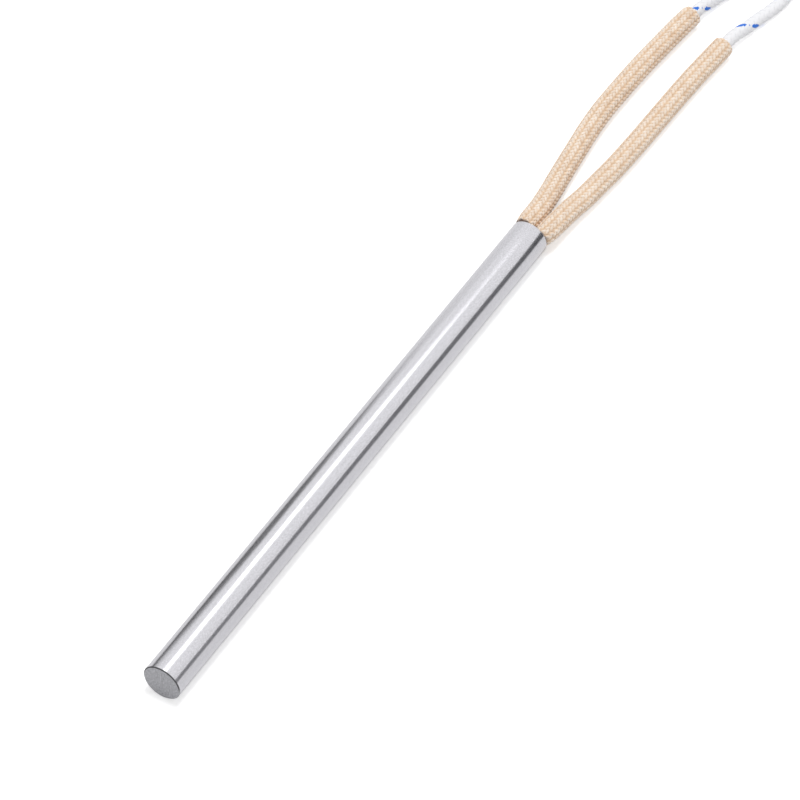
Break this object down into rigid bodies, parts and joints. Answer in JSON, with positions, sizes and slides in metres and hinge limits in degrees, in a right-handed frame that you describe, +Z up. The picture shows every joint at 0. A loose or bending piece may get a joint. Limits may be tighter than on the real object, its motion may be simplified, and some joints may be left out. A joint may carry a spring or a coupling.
{
  "type": "cartridge heater",
  "caption": "Straight round cartridge heater with a closed flat tip, two braided sleeves in its mouth and two braided leads folded into a tied hank.",
  "frame": {"origin": "under the middle of the sheath, on the surface that the heater lies on", "axes": "+X along the sheath from the closed tip to the lead mouth, +Z up"},
  "size_m": [0.2115, 0.0226, 0.0069],
  "materials": {
    "sheath_steel": "ground and lightly polished stainless tube",
    "end_steel": "ground matt steel",
    "mica": "pressed mica",
    "magnesia": "compacted magnesia",
    "resistance_wire": "oxidised resistance wire",
    "nickel": "drawn nickel",
    "bush_ceramic": "fired ceramic",
    "sleeve_braid": "tan braided glass yarn",
    "lead_braid": "white braided glass yarn with a blue tracer",
    "tinned_copper": "tinned strands",
    "tie": "flat tie"
  },
  "bodies": {
    "root": {"sheath": "sheath_steel", "end_disc": "end_steel", "tip_washer": "mica", "winding_core": "magnesia", "heating_coil": "resistance_wire", "long_pin": "nickel", "short_pin": "nickel", "magnesia_fill": "magnesia", "cold_bush": "bush_ceramic", "splice_1": "nickel", "splice_2": "nickel", "lead_seal": "bush_ceramic", "sleeve_1": "sleeve_braid", "sleeve_2": "sleeve_braid", "lead_1": "lead_braid", "lead_2": "lead_braid", "lead_hank": "lead_braid", "lead_1_tail": "lead_braid", "lead_2_tail": "lead_braid", "lead_1_end": "tinned_copper", "lead_2_end": "tinned_copper", "hank_ties": "tie"}
  },
  "joints": []
}
